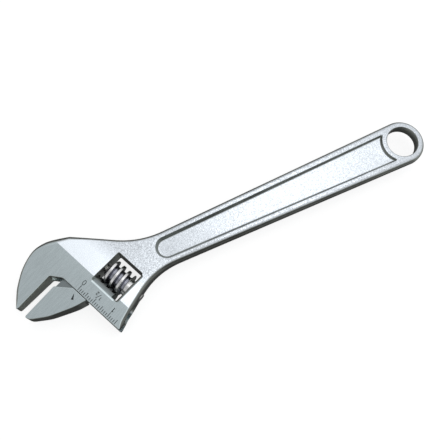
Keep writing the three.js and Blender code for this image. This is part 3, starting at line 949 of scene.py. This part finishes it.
class Nodes:
    """A tree of shader nodes, with the coordinates that it starts from."""

    def __init__(self, tree):
        self.tree = tree
        self.coordinates = tree.nodes.new("ShaderNodeTexCoord").outputs

    def set(self, socket, value):
        if isinstance(value, bpy.types.NodeSocket):
            self.tree.links.new(value, socket)
        else:
            socket.default_value = value

    def add(self, kind, **inputs):
        node = self.tree.nodes.new(kind)
        for name, value in inputs.items():
            self.set(node.inputs[name.replace("_", " ")], value)
        return node

    def calculate(self, operation, first, second=0.0):
        node = self.tree.nodes.new("ShaderNodeMath")
        node.operation = operation
        self.set(node.inputs[0], first)
        self.set(node.inputs[1], second)
        return node.outputs[0]

    def spread(self, value, low, high):
        """0 where the value is at low and 1 where it is at high, clamped beyond them."""
        return self.add("ShaderNodeMapRange", Value=value, From_Min=low, From_Max=high).outputs[0]

    def mix(self, amount, first, second, kind="RGBA"):
        node = self.tree.nodes.new("ShaderNodeMix")
        node.data_type = kind
        wanted = "RGBA" if kind == "RGBA" else "VALUE"
        sockets = [socket for socket in node.inputs[2:] if socket.type == wanted]
        self.set(node.inputs[0], amount)
        self.set(sockets[0], first)
        self.set(sockets[1], second)
        return next(socket for socket in node.outputs if socket.type == wanted)


class Look(Nodes):
    """A metal surface made of nodes."""

    def __init__(self, name):
        self.material = bpy.data.materials.new(name)
        self.material.use_nodes = True
        super().__init__(self.material.node_tree)
        self.shader = self.tree.nodes["Principled BSDF"]
        self.shader.inputs["Metallic"].default_value = 1.0
        self.place = self.coordinates["Object"]

    def noise(self, scale, detail=3.0, roughness=0.5, stretch=(1, 1, 1), turn=0.0):
        """Noise with about scale features in a metre, along axes turned about z."""
        mapping = self.add("ShaderNodeMapping", Vector=self.place, Rotation=(0, 0, -turn))
        stretched = self.add("ShaderNodeMapping", Vector=mapping.outputs[0], Scale=stretch)
        node = self.add(
            "ShaderNodeTexNoise",
            Vector=stretched.outputs[0], Scale=scale, Detail=detail, Roughness=roughness,
        )
        return node.outputs["Fac"]

    def dot(self, vector, axis):
        node = self.tree.nodes.new("ShaderNodeVectorMath")
        node.operation = "DOT_PRODUCT"
        self.set(node.inputs[0], vector)
        node.inputs[1].default_value = axis
        return node.outputs["Value"]

    def along(self, axis):
        """Distance from the head's origin along one of its axes, in metres."""
        origin = (HOLE_CENTRE + HEAD_ORIGIN) @ axis * MM
        return self.calculate("SUBTRACT", self.dot(self.place, (*axis, 0)), origin)

    def from_middle(self):
        """Distance from the middle of the wrench's thickness, in metres."""
        height = self.add("ShaderNodeSeparateXYZ", Vector=self.place).outputs["Z"]
        return self.calculate("ABSOLUTE", self.calculate("SUBTRACT", height, MID_Z * MM))

    def facing(self, axis):
        """How far the surface faces along an axis, or against it: 1 where it faces it squarely."""
        return self.calculate("ABSOLUTE", self.dot(self.coordinates["Normal"], axis))

    def mark(self):
        """The value that the mesh holds for each point: 1 in an engraved line or a groove; it carries the
        painted shade in the worm's grooves and on the jaw's parts inside the body.
        """
        node = self.tree.nodes.new("ShaderNodeAttribute")
        node.attribute_name = "mark"
        return node.outputs["Fac"]

    def finish(self, colour, rough, height, distance):
        self.set(self.shader.inputs["Base Color"], colour)
        self.set(self.shader.inputs["Roughness"], rough)
        bump = self.add("ShaderNodeBump", Height=height, Strength=0.6, Distance=distance)
        self.set(self.shader.inputs["Normal"], bump.outputs[0])
        return self.material


def forged_colour_and_crease_highlight(look, u, grain):
    """The forged faces: a painted highlight beside the crease, speckled elsewhere and less so in the
    panel.
    """
    # Painted highlight: the colour grows brighter toward the crease, where the light falls on the face.
    crease_highlight = look.spread(u, CREASE_HIGHLIGHT_U * MM, (CREASE_HIGHLIGHT_U - 12) * MM)
    panel = look.spread(look.from_middle(), (WEB_HALF + 0.6) * MM, (WEB_HALF + 0.2) * MM)
    dull = look.mix(panel, look.mix(crease_highlight, grey(0.42, PALE), grey(0.9, PALE)), grey(0.57, PALE))
    bright = look.mix(crease_highlight, grey(0.76, PALE), grey(0.94, PALE))
    return look.mix(look.spread(grain, 0.34, 0.64), dull, bright)


def side_colour_and_painted_shade(look):
    """The sides: dark with painted shade where they are forged, pale where the jaws' faces and the window
    were cut.
    """
    from_axis = look.calculate("ABSOLUTE", look.along(V_AXIS))
    between_jaws = look.spread(from_axis, (FIXED_FACE_V + 0.5) * MM, (FIXED_FACE_V + 0.2) * MM)
    across_head = look.spread(look.facing((*V_AXIS, 0)), 0.93, 0.98)
    clouded = look.spread(look.noise(60, 3), 0.35, 0.65)
    # Painted shade: the forged sides are coloured dark, standing for the dark surroundings that they
    # mirror.
    forged = look.mix(clouded, grey(0.22, OLIVE), grey(0.34, OLIVE))
    cut = look.mix(clouded, grey(0.82, OLIVE), grey(0.96, OLIVE))
    return look.mix(look.calculate("MULTIPLY", across_head, between_jaws), forged, cut)


def chrome_look(name):
    """Chromed forging: ground smooth left of the crease, grained right of it, rougher on its sides and
    painted dark there as shade where they are forged.
    """
    look = Look(name)
    u = look.along(U_AXIS)
    ground = look.spread(u, (CREASE_U + 0.1) * MM, (CREASE_U - 0.1) * MM)
    face = look.spread(look.facing((0, 0, 1)), 0.78, 0.98)
    grain = look.noise(1000, 3, 0.75)
    turn = math.atan2(U_AXIS[1], U_AXIS[0])
    lines = look.noise(900, 4, 0.6, stretch=(0.1, 1, 1), turn=turn)
    streaked = look.spread(lines, 0.3, 0.7)
    ground_colour = look.mix(streaked, grey(0.68, STEEL), grey(0.74, STEEL))
    face_colour = look.mix(ground, forged_colour_and_crease_highlight(look, u, grain), ground_colour)
    shown = look.mix(face, side_colour_and_painted_shade(look), face_colour)
    # The mark darkens engraved lines and paints shade on the jaw's bar, rack and tongue inside the body.
    colour = look.mix(look.mark(), shown, grey(0.08, STEEL))
    forged_rough = look.mix(look.spread(grain, 0.3, 0.7), 0.34, 0.2, "FLOAT")
    ground_rough = look.mix(streaked, 0.2, 0.26, "FLOAT")
    face_rough = look.mix(ground, forged_rough, ground_rough, "FLOAT")
    rough = look.mix(face, 0.34, face_rough, "FLOAT")
    height = look.mix(ground, grain, look.calculate("MULTIPLY", lines, 0.08), "FLOAT")
    return look.finish(colour, rough, height, 0.07 * MM)


def worm_look():
    """Turned and chromed thread, with painted shade at the bottom of its grooves."""
    look = Look("worm_steel_look")
    grain = look.noise(1400, 4, 0.6)
    cloud = look.noise(240, 3)
    bright = look.mix(look.spread(cloud, 0.3, 0.7), grey(0.66), grey(0.86))
    # Painted shade: deep in the grooves the colour goes dark and bluish.
    colour = look.mix(look.spread(look.mark(), 0.12, 0.75), bright, grey(0.32, (0.93, 0.96, 1.1)))
    rough = look.mix(look.spread(grain, 0.3, 0.7), 0.16, 0.34, "FLOAT")
    return look.finish(colour, rough, grain, 0.03 * MM)


def steel_look(name, dark, bright):
    """Plain oiled steel."""
    look = Look(name)
    grain = look.noise(1600, 4, 0.6)
    colour = look.mix(look.spread(look.noise(300), 0.3, 0.7), grey(dark), grey(bright, (1.02, 1, 0.97)))
    rough = look.mix(look.spread(grain, 0.3, 0.7), 0.28, 0.5, "FLOAT")
    return look.finish(colour, rough, grain, 0.03 * MM)


def floor_look():
    """A pale sweep that is lit from behind, so that the wrench throws only a faint shadow."""
    look = Look("floor_look")
    look.shader.inputs["Metallic"].default_value = 0.0
    look.shader.inputs["Emission Color"].default_value = (1, 1, 1, 1)
    look.shader.inputs["Emission Strength"].default_value = 0.8
    grain = look.noise(60, 3)
    colour = look.mix(grain, grey(0.3), grey(0.32))
    return look.finish(colour, 0.8, grain, 0.02 * MM)


# ---------------------------------------------------------------- scene


def dress(piece, material, node, body):
    """Gives a piece its material, hides the CAD part that it replaces and hangs it on its body."""
    finish_shading(piece)
    piece.data.materials.clear()
    piece.data.materials.append(material)
    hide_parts(node)
    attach(piece, body)


def soft_box(name, place, size, radiance):
    """A rectangular lamp that looks straight down."""
    data = bpy.data.lights.new(name, "AREA")
    data.shape = "RECTANGLE"
    data.size, data.size_y = size
    data.energy = radiance * 4 * math.pi * size[0] * size[1]
    lamp = bpy.data.objects.new(name, data)
    lamp.location = place
    bpy.context.scene.collection.objects.link(lamp)


def sky(below, flags, around, above_left, above):
    """A studio that is palest overhead, with dark flags in front of the wrench and low behind it.

    The five values are the radiance below, at the flags, round the horizon and in the two halves above.
    """
    world = bpy.data.worlds.new("studio")
    bpy.context.scene.world = world
    world.use_nodes = True
    nodes = Nodes(world.node_tree)
    x, y, z = nodes.add("ShaderNodeSeparateXYZ", Vector=nodes.coordinates["Generated"]).outputs
    height = nodes.calculate("ADD", nodes.calculate("MULTIPLY", x, 0.35), z)
    forward = nodes.calculate("MULTIPLY", y, -1.0)
    sideways = nodes.calculate("ABSOLUTE", y)
    # Below the horizon the flags stand on both sides, and above it only in front.
    flagged = nodes.mix(nodes.spread(z, -0.05, 0.0), sideways, forward, "FLOAT")
    horizon = nodes.mix(nodes.spread(flagged, 0.76, 0.9), around, flags, "FLOAT")
    overhead = nodes.mix(nodes.spread(x, -0.22, 0.12), above_left, above, "FLOAT")
    low = nodes.mix(nodes.spread(z, -0.75, -0.45), below, horizon, "FLOAT")
    whole = nodes.mix(nodes.spread(height, 0.45, 0.82), low, overhead, "FLOAT")
    background = world.node_tree.nodes["Background"]
    background.inputs["Color"].default_value = (0.985, 0.99, 1.0, 1.0)
    nodes.set(background.inputs["Strength"], whole)


def camera():
    """Above the heel of the head, looking down at the middle of the wrench."""
    data = bpy.data.cameras.new("camera")
    data.sensor_width = 36.0
    data.lens = 49.5
    lens = bpy.data.objects.new("camera", data)
    place = Vector((-86.1, -94.5, 399.2)) * MM
    target = Vector((-8.8, 3.3, MID_Z)) * MM
    roll = math.radians(12.82)
    lens.location = place
    upright = (target - place).to_track_quat("-Z", "Y")
    lens.rotation_mode = "QUATERNION"
    lens.rotation_quaternion = upright @ Quaternion((0, 0, 1), roll)
    bpy.context.scene.collection.objects.link(lens)
    bpy.context.scene.camera = lens


def floor():
    """A wide pale floor, which the chrome doesn't mirror."""
    mesh = bpy.data.meshes.new("floor")
    half = 2.5
    corners = [(-half, -half, 0), (half, -half, 0), (half, half, 0), (-half, half, 0)]
    mesh.from_pydata(corners, [], [(0, 1, 2, 3)])
    mesh.materials.append(floor_look())
    ground = bpy.data.objects.new("floor", mesh)
    ground.visible_glossy = False
    bpy.context.scene.collection.objects.link(ground)


body = wrench_body()
cut_slide(body)
cut_pin_hole(body)
dress(body, chrome_look("chromed_forging_look"), "wrench_body", "body")
dress(movable_jaw(), chrome_look("ground_jaw_look"), "movable_jaw", "jaw")
dress(adjusting_worm(), worm_look(), "adjusting_worm", "worm")
dress(worm_pin(), steel_look("pin_steel_look", 0.3, 0.5), "worm_pin", "body")
dress(worm_spring(), steel_look("spring_steel_look", 0.14, 0.26), "worm_spring", "body")

floor()
sky(below=0.07, flags=0.09, around=0.68, above_left=0.52, above=1.05)
soft_box("handle_light", place=(0.44, 0.27, 1.2), size=(0.5, 0.14), radiance=0.55)
camera()
bpy.context.scene.view_settings.view_transform = "Standard"
